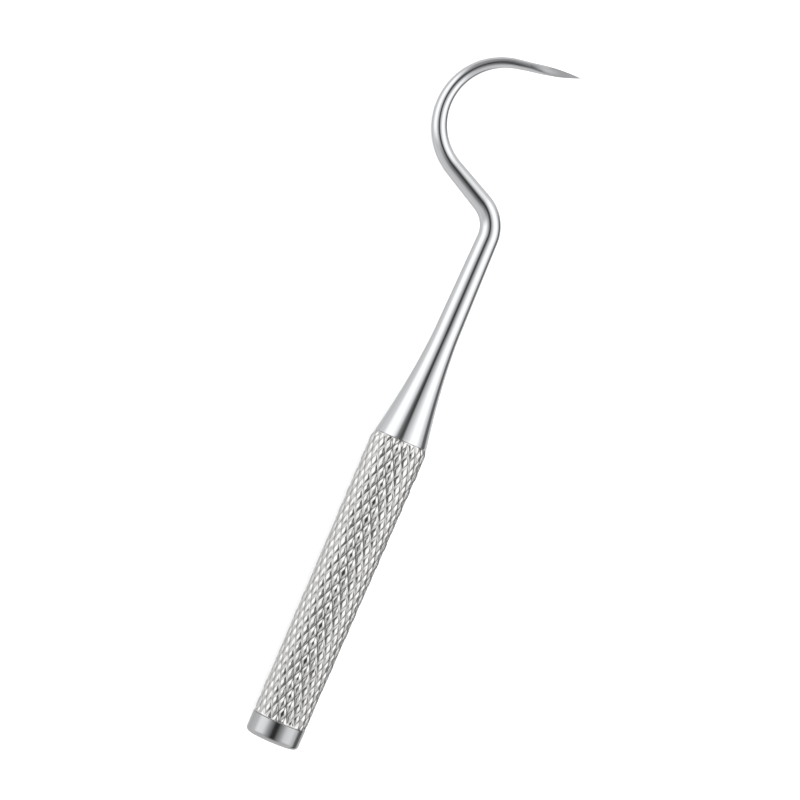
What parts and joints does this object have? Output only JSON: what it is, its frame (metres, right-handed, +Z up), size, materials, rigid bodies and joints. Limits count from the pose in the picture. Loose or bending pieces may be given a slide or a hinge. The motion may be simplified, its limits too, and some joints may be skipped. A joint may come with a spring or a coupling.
{
  "type": "hand scaler",
  "caption": "Single-ended dental hand scaler: knurled hollow grip, polished cone and shank, and a wide hook that ends in a ground three-sided blade.",
  "frame": {"origin": "middle of the underside of the box round the tool, which lies on its side as on a tray", "axes": "+X along the handle from the cap to the hook, +Z up; the hook bulges to +Y and its side rests on the table with the grip"},
  "size_m": [0.1306, 0.023, 0.0108],
  "materials": {
    "polished_steel": "mirror polished stainless steel",
    "knurled_steel": "knurled, tumbled and satin stainless steel",
    "turned_steel": "turned stainless steel, not polished"
  },
  "bodies": {
    "root": {"working_end": "polished_steel", "handle_tube": "knurled_steel", "end_cap": "polished_steel", "tang_bush": "turned_steel"}
  },
  "joints": []
}
